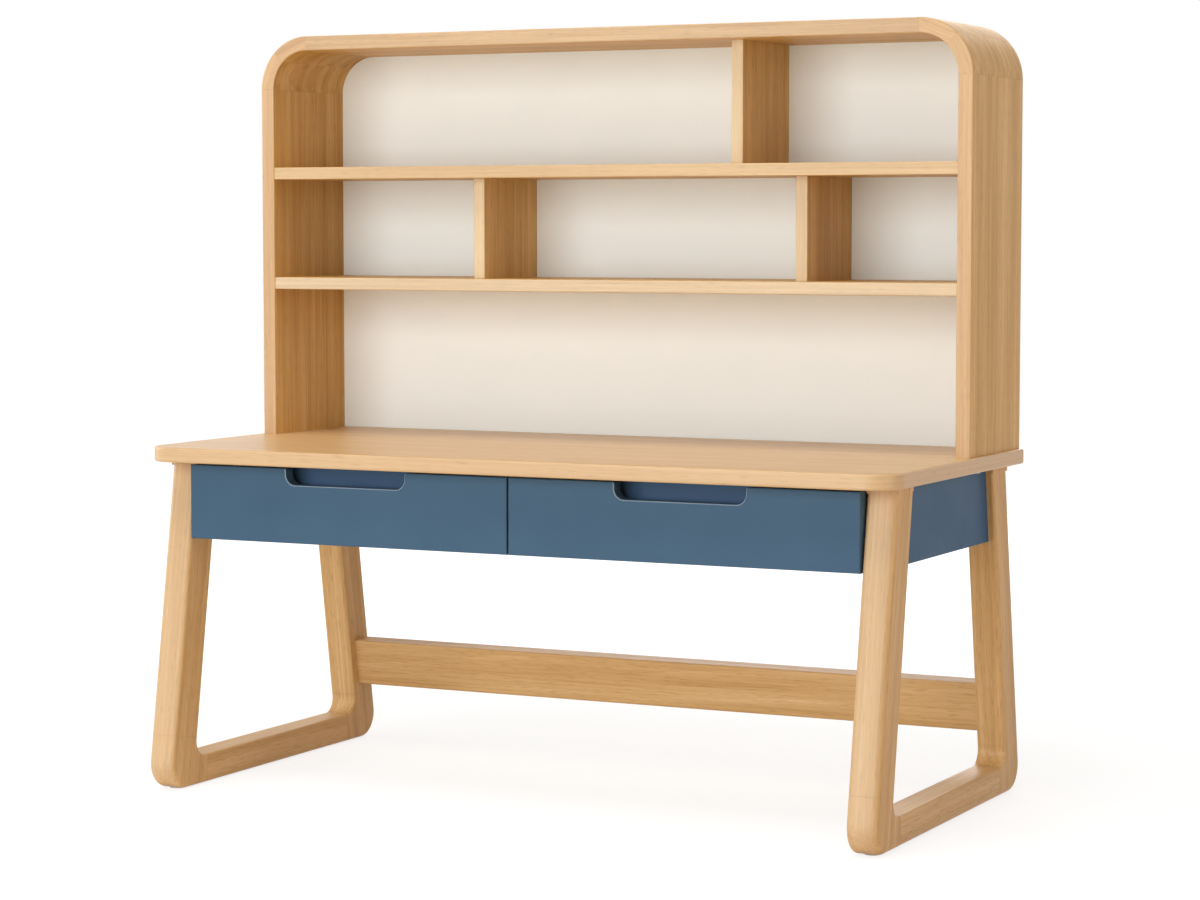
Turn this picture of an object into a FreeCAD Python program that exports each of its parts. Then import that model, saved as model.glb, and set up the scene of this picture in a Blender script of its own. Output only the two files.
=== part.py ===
import FreeCAD
import Part
import math
import os

from FreeCAD import Placement, Rotation, Vector

# Student desk with an arched hutch, two drawers and two splayed leg frames, in millimetres.
# X runs along the desk's width, Y from the sitter towards the wall, Z up.
# The origin lies on the floor, midway between the four feet.

# Desktop
desktop_width = 1400.0
desktop_depth = 644.0
desktop_thickness = 26.0
desktop_height = 605.0
desktop_front_corner_radius = 56.0
desktop_back_corner_radius = 6.0
desktop_edge_round = 3.5

# Leg frames
leg_inset = 16.0
leg_thickness = 52.0
leg_depth = 72.0
leg_splay_angle = 9.0
leg_outer_edge_round = 12.0
leg_inboard_edge_round = 8.0
leg_inner_edge_round = 5.0
leg_shoulder_height = 10.0
front_foot_reach = 22.0
rear_foot_reach = 46.0
foot_outer_radius = 45.0
foot_inner_radius = 26.0
foot_block_rise = 34.0
foot_block_run = 34.0
runner_height = 52.0
glide_height = 1.5
glide_diameter = 24.0
stretcher_height = 87.0
stretcher_thickness = 34.0
stretcher_middle_height = 153.0
stretcher_edge_round = 4.0

# Aprons, battens and the partition between the drawers
apron_inset = 14.0
apron_thickness = 18.0
apron_height = 129.0
batten_height = 60.0
rear_apron_height = 120.0
rear_apron_thickness = 18.0
partition_thickness = 24.0
partition_height = 113.0
partition_front_gap = 3.0

# Hutch
hutch_side_inset = 8.0
hutch_depth = 256.0
hutch_back_inset = 5.0
hutch_board = 26.0
hutch_corner_radius = 96.0
hutch_edge_round = 2.5
shelf_thickness = 22.0
shelf_setback = 2.0
shelf_edge_round = 2.0
bottom_bay_height = 269.0
middle_bay_height = 180.0
top_bay_height = 213.0
divider_thickness = 22.0
divider_setback = 40.0
top_divider_x = 249.0
middle_divider_left_x = -258.0
middle_divider_right_x = 370.0
back_panel_thickness = 9.0
back_panel_lap = 12.0
back_panel_clearance = 0.5

# Drawers
drawer_front_setback = 46.0
drawer_front_thickness = 24.0
drawer_front_height = 130.0
drawer_front_top_gap = 6.0
drawer_front_side_gap = 2.0
drawer_front_middle_gap = 3.0
drawer_front_edge_round = 2.0
drawer_rear_clearance = 33.0
drawer_box_height = 92.0
drawer_box_bottom_lift = 23.0
drawer_side_thickness = 13.0
drawer_back_thickness = 13.0
drawer_bottom_thickness = 6.0
drawer_bottom_lift = 8.0
drawer_groove_depth = 6.0
drawer_groove_clearance = 0.1
pull_width = 236.0
pull_depth = 29.0
pull_corner_radius = 18.0
pull_lip_radius = 5.0
pull_finger_room = 28.0
pull_backing_thickness = 12.0
pull_backing_top_gap = 5.0

# Telescopic slides
slide_width = 12.7
slide_height = 45.0
slide_length_step = 50.0
slide_sheet = 1.2
slide_running_clearance = 0.35
slide_front_gap = 8.0
slide_middle_web = 4.0
slide_outer_flange = 10.0
slide_middle_flange = 11.0
slide_inner_flange = 6.0
slide_screw_end_inset = 40.0

# Dowels, screws and brackets
small_dowel_diameter = 8.0
small_dowel_length = 30.0
large_dowel_diameter = 10.0
large_dowel_length = 40.0
dowel_radial_clearance = 0.05
dowel_end_clearance = 1.0
seam_dowel_inset = 40.0
shelf_dowel_inset = 45.0
leg_dowel_spacing = 34.0
runner_dowel_spacing = 22.0
apron_dowel_spacing = 70.0
stretcher_dowel_spacing = 48.0
screw_diameter = 4.0
screw_length = 14.0
screw_head_diameter = 7.6
screw_head_height = 1.6
screw_point = 3.0
panel_screw_diameter = 3.5
panel_screw_length = 22.0
panel_screw_head_diameter = 7.0
panel_screw_head_height = 2.4
panel_screw_pitch = 170.0
hutch_screw_diameter = 7.0
hutch_screw_length = 70.0
hutch_screw_head_diameter = 12.0
hutch_screw_head_height = 4.0
screw_radial_clearance = 0.05
bracket_leg = 26.0
bracket_width = 30.0
bracket_sheet = 2.0
bracket_end_inset = 60.0
rear_bracket_spacing = 700.0

# Heights and planes that follow from the sizes above
underside_z = desktop_height - desktop_thickness
foot_spread = front_foot_reach + desktop_depth + rear_foot_reach
desktop_front_y = front_foot_reach - foot_spread / 2
desktop_back_y = desktop_front_y + desktop_depth
splay = math.radians(leg_splay_angle)
leg_outer_x = desktop_width / 2 - leg_inset
leg_inner_x = leg_outer_x - leg_thickness
leg_middle_x = (leg_outer_x + leg_inner_x) / 2
leg_run = leg_depth / math.cos(splay)
runner_top_z = glide_height + runner_height
apron_outer_x = leg_outer_x - apron_inset
apron_inner_x = apron_outer_x - apron_thickness
hutch_outer_x = desktop_width / 2 - hutch_side_inset
hutch_inner_x = hutch_outer_x - hutch_board
hutch_back_y = desktop_back_y - hutch_back_inset
hutch_front_y = hutch_back_y - hutch_depth
panel_front_y = hutch_back_y - back_panel_thickness
shelf_front_y = hutch_front_y + shelf_setback
divider_front_y = shelf_front_y + divider_setback
lower_shelf_z = desktop_height + bottom_bay_height
upper_shelf_z = lower_shelf_z + shelf_thickness + middle_bay_height
hutch_ceiling_z = upper_shelf_z + shelf_thickness + top_bay_height
hutch_top_z = hutch_ceiling_z + hutch_board
arc_centre_x = hutch_outer_x - hutch_corner_radius
arc_centre_z = hutch_top_z - hutch_corner_radius
front_face_y = desktop_front_y + drawer_front_setback
front_back_y = front_face_y + drawer_front_thickness
front_top_z = underside_z - drawer_front_top_gap
front_bottom_z = front_top_z - drawer_front_height
front_inner_x = drawer_front_middle_gap / 2
front_outer_x = leg_inner_x - drawer_front_side_gap
partition_x = partition_thickness / 2
box_inner_x = partition_x + slide_width
box_outer_x = leg_inner_x - slide_width
box_bottom_z = front_bottom_z + drawer_box_bottom_lift
box_top_z = box_bottom_z + drawer_box_height
tray_bottom_z = box_bottom_z + drawer_bottom_lift
tray_top_z = tray_bottom_z + drawer_bottom_thickness
slide_z = (box_bottom_z + box_top_z) / 2
slide_front_y = front_back_y + slide_front_gap

# Long enough to pass right through the desk
far = 3000.0


def slab(x_range, y_range, z_range):
    """Box between two limits on each axis."""
    size = [limits[1] - limits[0] for limits in (x_range, y_range, z_range)]
    return Part.makeBox(*size, Vector(x_range[0], y_range[0], z_range[0]))


def rounded_face(points, radii):
    """Flat face through the corner points, each corner rounded by its own radius; 0 keeps it sharp."""
    starts = []
    ends = []
    middles = []
    for index, corner in enumerate(points):
        back = (points[index - 1] - corner).normalize()
        ahead = (points[(index + 1) % len(points)] - corner).normalize()
        half_angle = back.getAngle(ahead) / 2
        reach = radii[index] / math.tan(half_angle)
        bisector = (back + ahead).normalize()
        starts.append(corner + back * reach)
        ends.append(corner + ahead * reach)
        middles.append(corner + bisector * (radii[index] / math.sin(half_angle) - radii[index]))
    edges = []
    for index, radius in enumerate(radii):
        if radius > 0:
            edges.append(Part.Arc(starts[index], middles[index], ends[index]).toShape())
        edges.append(Part.makeLine(ends[index], starts[(index + 1) % len(points)]))
    return Part.Face(Part.Wire(edges))


def turned(profile, base, direction):
    """Solid turned from a closed profile of (radius, distance) points about a line."""
    points = [Vector(radius, 0, distance) for radius, distance in profile]
    face = Part.Face(Part.makePolygon(points + [points[0]]))
    solid = face.revolve(Vector(0, 0, 0), Vector(0, 0, 1), 360)
    solid.Placement = Placement(base, Rotation(Vector(0, 0, 1), direction))
    return solid


def rod(middle, direction, diameter, length):
    """Round rod centred on a point."""
    along = Vector(direction).normalize()
    return Part.makeCylinder(diameter / 2, length, middle - along * (length / 2), along)


def mirrored_x(shape):
    """The same shape on the other side of the desk."""
    return shape.mirror(Vector(0, 0, 0), Vector(1, 0, 0))


def mirrored_y(shape):
    """The same shape swapped front to back about the leg frames' middle."""
    return shape.mirror(Vector(0, 0, 0), Vector(0, 1, 0))


def flipped_x(joints):
    """Joint positions on the other side of the desk."""
    return [(Vector(-p.x, p.y, p.z), Vector(-d.x, d.y, d.z)) for p, d in joints]


def flipped_y(joints):
    """Joint positions swapped front to back."""
    return [(Vector(p.x, -p.y, p.z), Vector(d.x, -d.y, d.z)) for p, d in joints]


def small_dowels(joints):
    """One small dowel on each joint."""
    return [rod(p, d, small_dowel_diameter, small_dowel_length) for p, d in joints]


def large_dowels(joints):
    """One large dowel on each joint."""
    return [rod(p, d, large_dowel_diameter, large_dowel_length) for p, d in joints]


def small_dowel_holes(joints):
    """Holes for the small dowels, a little longer and wider than the dowels."""
    diameter = small_dowel_diameter + 2 * dowel_radial_clearance
    length = small_dowel_length + 2 * dowel_end_clearance
    return [rod(p, d, diameter, length) for p, d in joints]


def large_dowel_holes(joints):
    """Holes for the large dowels, a little longer and wider than the dowels."""
    diameter = large_dowel_diameter + 2 * dowel_radial_clearance
    length = large_dowel_length + 2 * dowel_end_clearance
    return [rod(p, d, diameter, length) for p, d in joints]


def bored(shape, holes):
    """The shape with the holes that reach it taken out."""
    box = shape.BoundBox
    reaching = [hole for hole in holes if box.intersect(hole.BoundBox)]
    return shape.cut(reaching) if reaching else shape


def pan_screw(seat, direction, clearance=0.0):
    """Pan-head screw whose head bears on the seat point and whose shank runs along the direction."""
    shank = screw_diameter / 2 + clearance
    head = screw_head_diameter / 2 + clearance
    profile = [
        (0, -screw_head_height), (head, -screw_head_height), (head, 0), (shank, 0),
        (shank, screw_length - screw_point), (0, screw_length)]
    return turned(profile, seat, direction)


def panel_screw(seat, direction, clearance=0.0):
    """Countersunk screw whose head lies level with the seat point."""
    shank = panel_screw_diameter / 2 + clearance
    head = panel_screw_head_diameter / 2 + clearance
    profile = [
        (0, 0), (head, 0), (shank, panel_screw_head_height),
        (shank, panel_screw_length - screw_point), (0, panel_screw_length)]
    return turned(profile, seat, direction)


def hutch_screw(seat, direction, clearance=0.0):
    """Long flat-head screw that pulls a hutch side down onto the desktop."""
    shank = hutch_screw_diameter / 2 + clearance
    head = hutch_screw_head_diameter / 2 + clearance
    profile = [
        (0, -hutch_screw_head_height), (head, -hutch_screw_head_height), (head, 0), (shank, 0),
        (shank, hutch_screw_length - screw_point), (0, hutch_screw_length)]
    return turned(profile, seat, direction)


def spread(first, last, pitch):
    """Even places from first to last, no further apart than the pitch."""
    steps = max(1, math.ceil((last - first) / pitch))
    return [first + (last - first) * step / steps for step in range(steps + 1)]


def edges_on(shape, test):
    """Edges whose middle point passes the test."""
    chosen = []
    for edge in shape.Edges:
        middle = edge.valueAt((edge.FirstParameter + edge.LastParameter) / 2)
        if test(middle):
            chosen.append(edge)
    return chosen


def near(value, target):
    """Whether two lengths agree within the modelling tolerance."""
    return abs(value - target) < 1e-4


def leg_outer_y(height):
    """Distance of a leg's outer face from the frame's middle at a height."""
    return foot_spread / 2 - (height - glide_height) * math.tan(splay)


def leg_inner_y(height):
    """Distance of a leg's inner face from the frame's middle at a height."""
    return leg_outer_y(height) - leg_run


# Joint places of the leg frames, right side, front first
leg_up = Vector(0, math.sin(splay), math.cos(splay))
leg_across = Vector(0, math.cos(splay), -math.sin(splay))
leg_seam_z = runner_top_z + foot_block_rise
leg_seam_point = Vector(leg_middle_x, -leg_inner_y(leg_seam_z), leg_seam_z)
runner_seam_y = leg_inner_y(runner_top_z) - foot_block_run
leg_top_middle_y = leg_outer_y(underside_z) - leg_run / 2

# The rear apron stands upright in the middle of the rear legs' depth
rear_apron_middle_y = leg_outer_y(underside_z - rear_apron_height / 2) - leg_run / 2
rear_apron_front_y = rear_apron_middle_y - rear_apron_thickness / 2

# The drawer boxes end short of the rear apron and run on the longest stock slides that fit them
box_back_y = rear_apron_front_y - drawer_rear_clearance
slide_length = slide_length_step * math.floor((box_back_y - slide_front_y) / slide_length_step)
slide_back_y = slide_front_y + slide_length


def leg_top_joints():
    """Dowels that stand in the top of the right front leg and in the desktop."""
    offsets = (-leg_dowel_spacing / 2, leg_dowel_spacing / 2)
    return [(Vector(leg_middle_x, -leg_top_middle_y + o, underside_z), Vector(0, 0, 1)) for o in offsets]


def leg_seam_joints():
    """Dowels across the seam between the right front leg and its foot block."""
    middle = leg_seam_point - leg_across * (leg_depth / 2)
    offsets = (-leg_dowel_spacing / 2, leg_dowel_spacing / 2)
    return [(middle + leg_across * o, leg_up) for o in offsets]


def runner_seam_joints():
    """Dowels across the seam between the right front foot block and the runner."""
    height = glide_height + runner_height / 2
    offsets = (-runner_dowel_spacing / 2, runner_dowel_spacing / 2)
    return [(Vector(leg_middle_x + o, -runner_seam_y, height), Vector(0, 1, 0)) for o in offsets]


def apron_joints():
    """Dowels between the right front leg and the side apron, square to the leg's inner face."""
    middle_z = underside_z - apron_height / 2
    joints = []
    for offset in (-apron_dowel_spacing / 2, apron_dowel_spacing / 2):
        height = middle_z + offset
        point = Vector((apron_outer_x + apron_inner_x) / 2, -leg_inner_y(height), height)
        joints.append((point, leg_across))
    return joints


def stretcher_joints():
    """Dowels between the stretcher's right end and the rear leg."""
    up = Vector(0, -math.sin(splay), math.cos(splay))
    middle_y = leg_outer_y(stretcher_middle_height) - leg_run / 2
    middle = Vector(leg_inner_x, middle_y, stretcher_middle_height)
    offsets = (-stretcher_dowel_spacing / 2, stretcher_dowel_spacing / 2)
    return [(middle + up * o, Vector(1, 0, 0)) for o in offsets]


def rear_apron_joints():
    """Dowels between the rear apron's right end and the rear leg."""
    middle_z = underside_z - rear_apron_height / 2
    offsets = (-apron_dowel_spacing / 2, apron_dowel_spacing / 2)
    return [(Vector(leg_inner_x, rear_apron_middle_y, middle_z + o), Vector(1, 0, 0)) for o in offsets]


def partition_top_joints():
    """Dowels between the partition and the desktop."""
    front_y = front_back_y + seam_dowel_inset
    back_y = rear_apron_front_y - seam_dowel_inset
    places = spread(front_y, back_y, (back_y - front_y) / 2)
    return [(Vector(0, y, underside_z), Vector(0, 0, 1)) for y in places]


def partition_back_joints():
    """Dowels between the partition and the rear apron."""
    middle_z = underside_z - partition_height / 2
    offsets = (-apron_dowel_spacing / 2, apron_dowel_spacing / 2)
    return [(Vector(0, rear_apron_front_y, middle_z + o), Vector(0, 1, 0)) for o in offsets]


def both_ways(joints):
    """A right front joint list repeated on all four legs."""
    right = joints + flipped_y(joints)
    return right + flipped_x(right)


def both_sides(joints):
    """A right-hand joint list repeated on the left."""
    return joints + flipped_x(joints)


large_frame_joints = (
    both_ways(leg_top_joints()) + both_ways(leg_seam_joints())
    + both_ways(runner_seam_joints()) + both_sides(stretcher_joints()))
small_frame_joints = (
    both_ways(apron_joints()) + both_sides(rear_apron_joints())
    + partition_top_joints() + partition_back_joints())
frame_holes = large_dowel_holes(large_frame_joints) + small_dowel_holes(small_frame_joints)


def bracket_places():
    """Corner line and inward direction of each desktop bracket."""
    places = []
    side_y = leg_inner_y(underside_z) - bracket_end_inset
    for y in (-side_y, side_y):
        places.append((Vector(apron_inner_x, y, underside_z), Vector(-1, 0, 0)))
        places.append((Vector(-apron_inner_x, y, underside_z), Vector(1, 0, 0)))
    for x in (-rear_bracket_spacing / 2, rear_bracket_spacing / 2):
        places.append((Vector(x, rear_apron_front_y, underside_z), Vector(0, -1, 0)))
    return places


def bracket(corner, inward):
    """Bent steel angle under the desktop, against the inside of an apron."""
    along = inward.cross(Vector(0, 0, 1))
    down = Vector(0, 0, -1)
    start = corner - along * (bracket_width / 2)
    outline = [
        start, start + inward * bracket_leg, start + inward * bracket_leg + down * bracket_sheet,
        start + inward * bracket_sheet + down * bracket_sheet,
        start + inward * bracket_sheet + down * bracket_leg, start + down * bracket_leg]
    radii = [0, 0, 0, bracket_sheet / 2, 0, 0]
    return rounded_face(outline, radii).extrude(along * bracket_width)


def bracket_screw_seats():
    """Seat and direction of the two screws in each bracket."""
    seats = []
    middle = (bracket_leg + bracket_sheet) / 2
    down = Vector(0, 0, -1)
    for corner, inward in bracket_places():
        seats.append((corner + inward * middle + down * bracket_sheet, Vector(0, 0, 1)))
        seats.append((corner + down * middle + inward * bracket_sheet, inward * -1))
    return seats


def slide_walls():
    """Mounting plane of each slide of the right drawer and the side on which the drawer lies."""
    return [(leg_inner_x, -1.0), (partition_x, 1.0)]


def slide_screw_places():
    """Places along a slide where screws hold its members."""
    inset = slide_screw_end_inset
    return spread(slide_front_y + inset, slide_back_y - inset, slide_length / 2)


def slide_outer_seats():
    """Screw seats of the right drawer's outer slide members."""
    seats = []
    for wall_x, side in slide_walls():
        for y in slide_screw_places():
            seats.append((Vector(wall_x + side * slide_sheet, y, slide_z), Vector(-side, 0, 0)))
    return seats


def slide_inner_seats():
    """Screw seats of the right drawer's inner slide members."""
    seats = []
    for wall_x, side in slide_walls():
        for y in slide_screw_places():
            x = wall_x + side * (slide_width - slide_sheet)
            seats.append((Vector(x, y, slide_z), Vector(side, 0, 0)))
    return seats


frame_screw_seats = bracket_screw_seats() + slide_outer_seats() + flipped_x(slide_outer_seats())
frame_screw_holes = [pan_screw(p, d, screw_radial_clearance) for p, d in frame_screw_seats]


def hutch_screw_seats():
    """Seats under the desktop of the screws that hold the hutch, clear of the rear legs on both sides."""
    x = hutch_outer_x - hutch_board / 2
    front_y = (hutch_front_y + leg_inner_y(underside_z)) / 2
    back_y = (leg_outer_y(underside_z) + panel_front_y) / 2
    seats = [(Vector(x, y, underside_z), Vector(0, 0, 1)) for y in (front_y, back_y)]
    return seats + flipped_x(seats)


hutch_screw_holes = [hutch_screw(p, d, screw_radial_clearance) for p, d in hutch_screw_seats()]


def make_desktop():
    """Writing board with rounded front corners and softened arrises."""
    half = desktop_width / 2
    outline = [
        Vector(-half, desktop_front_y, underside_z), Vector(half, desktop_front_y, underside_z),
        Vector(half, desktop_back_y, underside_z), Vector(-half, desktop_back_y, underside_z)]
    front = desktop_front_corner_radius
    back = desktop_back_corner_radius
    board = rounded_face(outline, [front, front, back, back]).extrude(Vector(0, 0, desktop_thickness))
    rims = edges_on(board, lambda p: near(p.z, underside_z) or near(p.z, desktop_height))
    board = board.makeFillet(desktop_edge_round, rims)
    return bored(board, frame_holes + frame_screw_holes + hutch_screw_holes)


def leg_frame_blank():
    """The right leg frame in one piece: two legs and the runner, with square edges."""
    top = underside_z
    base = glide_height
    outline = [
        Vector(leg_inner_x, -leg_outer_y(top), top), Vector(leg_inner_x, -leg_outer_y(base), base),
        Vector(leg_inner_x, leg_outer_y(base), base), Vector(leg_inner_x, leg_outer_y(top), top),
        Vector(leg_inner_x, leg_inner_y(top), top),
        Vector(leg_inner_x, leg_inner_y(runner_top_z), runner_top_z),
        Vector(leg_inner_x, -leg_inner_y(runner_top_z), runner_top_z),
        Vector(leg_inner_x, -leg_inner_y(top), top)]
    outer = foot_outer_radius
    inner = foot_inner_radius
    radii = [0, outer, outer, 0, 0, inner, inner, 0]
    return rounded_face(outline, radii).extrude(Vector(leg_thickness, 0, 0))


def leg_frame_rounded(blank):
    """The leg frame with its long edges rounded, apart from a square shoulder under the desktop."""
    def on_side(point):
        on_face = near(point.x, leg_inner_x) or near(point.x, leg_outer_x)
        return on_face and not near(point.z, underside_z)

    def inside(point):
        middle_y = leg_outer_y(point.z) - leg_run / 2
        return point.z > glide_height + runner_height / 2 and abs(point.y) < middle_y

    outer_edges = edges_on(blank, lambda p: on_side(p) and not inside(p) and near(p.x, leg_outer_x))
    rounded = blank.makeFillet(leg_outer_edge_round, outer_edges)
    inboard_edges = edges_on(rounded, lambda p: on_side(p) and not inside(p) and near(p.x, leg_inner_x))
    rounded = rounded.makeFillet(leg_inboard_edge_round, inboard_edges)
    inner_edges = edges_on(rounded, lambda p: on_side(p) and inside(p))
    rounded = rounded.makeFillet(leg_inner_edge_round, inner_edges)
    shoulder_z = underside_z - leg_shoulder_height
    lower = rounded.common(slab((-far, far), (-far, far), (0, shoulder_z)))
    upper = blank.common(slab((-far, far), (-far, far), (shoulder_z, underside_z)))
    return lower.fuse(upper).removeSplitter()


def make_leg_pieces():
    """Right front leg, right front foot block and right runner, cut from one rounded frame."""
    frame = leg_frame_rounded(leg_frame_blank())
    above_seam = slab((-far, far), (-far, far), (0, far))
    above_seam.rotate(Vector(0, 0, 0), Vector(1, 0, 0), -leg_splay_angle)
    above_seam.translate(leg_seam_point)
    front_upper = slab((0, far), (-far, 0), (runner_top_z + foot_block_rise / 2, far))
    front_lower = slab((0, far), (-far, -runner_seam_y), (0, far))
    leg = frame.common(front_upper).common(above_seam)
    block = frame.common(front_lower).cut(above_seam)
    runner = frame.common(slab((0, far), (-runner_seam_y, runner_seam_y), (0, runner_top_z)))
    return leg, block, runner


def make_stretcher():
    """Low rear rail, tilted with the rear legs it joins."""
    half = leg_inner_x
    rail = slab(
        (-half, half), (-stretcher_thickness / 2, stretcher_thickness / 2),
        (-stretcher_height / 2, stretcher_height / 2))
    long_edges = edges_on(rail, lambda p: near(p.x, 0))
    rail = rail.makeFillet(stretcher_edge_round, long_edges)
    rail.rotate(Vector(0, 0, 0), Vector(1, 0, 0), leg_splay_angle)
    middle_y = leg_outer_y(stretcher_middle_height) - leg_run / 2
    rail.translate(Vector(0, middle_y, stretcher_middle_height))
    return bored(rail, frame_holes)


def board_between_legs(x_range, z_range):
    """Board on the right side whose slanted ends lie against the two legs."""
    x = x_range[0]
    low, high = z_range
    outline = [
        Vector(x, -leg_inner_y(low), low), Vector(x, leg_inner_y(low), low),
        Vector(x, leg_inner_y(high), high), Vector(x, -leg_inner_y(high), high)]
    return rounded_face(outline, [0, 0, 0, 0]).extrude(Vector(x_range[1] - x, 0, 0))


def make_apron():
    """Right side apron, let down from the desktop between the legs."""
    board = board_between_legs((apron_inner_x, apron_outer_x), (underside_z - apron_height, underside_z))
    return bored(board, frame_holes + frame_screw_holes)


def make_batten():
    """Right batten that fills the step between the apron and the legs' inner faces, behind the slide."""
    low = slide_z - batten_height / 2
    board = board_between_legs((leg_inner_x, apron_inner_x), (low, low + batten_height))
    return bored(board, frame_screw_holes)


def make_rear_apron():
    """Upper rear rail between the rear legs."""
    board = slab(
        (-leg_inner_x, leg_inner_x), (rear_apron_front_y, rear_apron_front_y + rear_apron_thickness),
        (underside_z - rear_apron_height, underside_z))
    return bored(board, frame_holes + frame_screw_holes)


def make_partition():
    """Board between the two drawers, hung from the desktop and the rear apron."""
    front_y = front_back_y + partition_front_gap
    board = slab(
        (-partition_x, partition_x), (front_y, rear_apron_front_y),
        (underside_z - partition_height, underside_z))
    return bored(board, frame_holes + frame_screw_holes)


def make_glides():
    """Flat glides under the feet."""
    y = leg_outer_y(glide_height) - foot_outer_radius - glide_diameter / 2
    places = [(leg_middle_x, y), (leg_middle_x, -y), (-leg_middle_x, y), (-leg_middle_x, -y)]
    return [Part.makeCylinder(glide_diameter / 2, glide_height, Vector(x, y, 0)) for x, y in places]


# Joint places of the hutch


def corner_joints():
    """Dowels across the three seams of the right-hand corner."""
    middle_radius = hutch_corner_radius - hutch_board / 2
    places_y = spread(hutch_front_y + seam_dowel_inset, panel_front_y - seam_dowel_inset, hutch_depth / 2)
    joints = []
    for step in range(3):
        angle = math.radians(45 * step)
        out = Vector(math.cos(angle), 0, math.sin(angle))
        along = Vector(-math.sin(angle), 0, math.cos(angle))
        for y in places_y:
            point = Vector(arc_centre_x, y, arc_centre_z) + out * middle_radius
            joints.append((point, along))
    return joints


def hutch_depth_places(front_y):
    """Two places for dowels across the depth of a shelf or divider, by its front edge."""
    return (front_y + shelf_dowel_inset, panel_front_y - shelf_dowel_inset)


def shelf_joints():
    """Dowels between the shelves and the right side."""
    joints = []
    for shelf_z in (lower_shelf_z, upper_shelf_z):
        for y in hutch_depth_places(shelf_front_y):
            point = Vector(hutch_inner_x, y, shelf_z + shelf_thickness / 2)
            joints.append((point, Vector(1, 0, 0)))
    return joints


def divider_joints():
    """Dowels at the foot and head of each divider."""
    middle_row = (lower_shelf_z + shelf_thickness, upper_shelf_z)
    top_row = (upper_shelf_z + shelf_thickness, hutch_ceiling_z)
    rows = [
        (middle_divider_left_x, middle_row), (middle_divider_right_x, middle_row),
        (top_divider_x, top_row)]
    joints = []
    for x, heights in rows:
        for z in heights:
            for y in hutch_depth_places(divider_front_y):
                joints.append((Vector(x, y, z), Vector(0, 0, 1)))
    return joints


corner_seam_joints = both_sides(corner_joints())
shelving_joints = both_sides(shelf_joints()) + divider_joints()
corner_holes = small_dowel_holes(corner_seam_joints)
shelving_holes = small_dowel_holes(shelving_joints)


def panel_screw_seats():
    """Screws round the back panel's lap and into the rear edges of the shelves."""
    inset = panel_screw_head_diameter
    lap_x = hutch_inner_x + back_panel_lap / 2
    lap_z = hutch_ceiling_z + back_panel_lap / 2
    into = Vector(0, -1, 0)
    seats = []
    for z in spread(desktop_height + seam_dowel_inset, arc_centre_z - inset, panel_screw_pitch):
        seats.append((Vector(lap_x, hutch_back_y, z), into))
        seats.append((Vector(-lap_x, hutch_back_y, z), into))
    for x in spread(-arc_centre_x + inset, arc_centre_x - inset, 2 * panel_screw_pitch):
        seats.append((Vector(x, hutch_back_y, lap_z), into))
    for shelf_z in (lower_shelf_z, upper_shelf_z):
        for x in spread(-arc_centre_x, arc_centre_x, 3 * panel_screw_pitch):
            seats.append((Vector(x, hutch_back_y, shelf_z + shelf_thickness / 2), into))
    return seats


panel_screw_holes = [panel_screw(p, d, screw_radial_clearance) for p, d in panel_screw_seats()]


def arch_points(y, inset):
    """Foot, two shoulders and foot of an arch that lies inside the hutch's outline by the inset."""
    x = hutch_outer_x - inset
    top = hutch_top_z - inset
    left = [Vector(-x, y, desktop_height), Vector(-x, y, top)]
    return left + [Vector(x, y, top), Vector(x, y, desktop_height)]


def make_arch():
    """The hutch's frame in one piece, with rounded shoulders and a lap at the back for the panel."""
    outer = arch_points(hutch_front_y, 0)
    inner = arch_points(hutch_front_y, hutch_board)
    big = hutch_corner_radius
    small = hutch_corner_radius - hutch_board
    outline = outer + inner[::-1]
    radii = [0, big, big, 0, 0, small, small, 0]
    arch = rounded_face(outline, radii).extrude(Vector(0, hutch_depth, 0))
    front_rims = edges_on(arch, lambda p: near(p.y, hutch_front_y) and not near(p.z, desktop_height))
    arch = arch.makeFillet(hutch_edge_round, front_rims)
    lap_inset = hutch_board - back_panel_lap
    lap_radius = hutch_corner_radius - lap_inset
    lap_face = rounded_face(arch_points(panel_front_y, lap_inset), [0, lap_radius, lap_radius, 0])
    return arch.cut(lap_face.extrude(Vector(0, 2 * back_panel_thickness, 0)))


def corner_wedge(first_angle, last_angle):
    """Wedge about the right corner's centre line that holds one corner piece."""
    centre = Vector(arc_centre_x, -far / 2, arc_centre_z)
    points = [centre]
    for angle in (first_angle, last_angle):
        turn = math.radians(angle)
        points.append(centre + Vector(math.cos(turn), 0, math.sin(turn)) * far)
    return rounded_face(points, [0, 0, 0]).extrude(Vector(0, far, 0))


def make_hutch_frame():
    """Right side, top board and the two right corner pieces, cut from the arch."""
    arch = make_arch()
    holes = corner_holes + shelving_holes + panel_screw_holes + hutch_screw_holes
    side = arch.common(slab((0, far), (-far, far), (0, arc_centre_z)))
    top = arch.common(slab((-arc_centre_x, arc_centre_x), (-far, far), (arc_centre_z, far)))
    lower_corner = arch.common(corner_wedge(0, 45))
    upper_corner = arch.common(corner_wedge(45, 90))
    return [bored(piece, holes) for piece in (side, top, lower_corner, upper_corner)]


def make_back_panel():
    """Painted back panel that drops into the lap of the arch."""
    inset = hutch_board - back_panel_lap + back_panel_clearance
    radius = hutch_corner_radius - inset
    face = rounded_face(arch_points(panel_front_y, inset), [0, radius, radius, 0])
    return bored(face.extrude(Vector(0, back_panel_thickness, 0)), panel_screw_holes)


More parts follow.
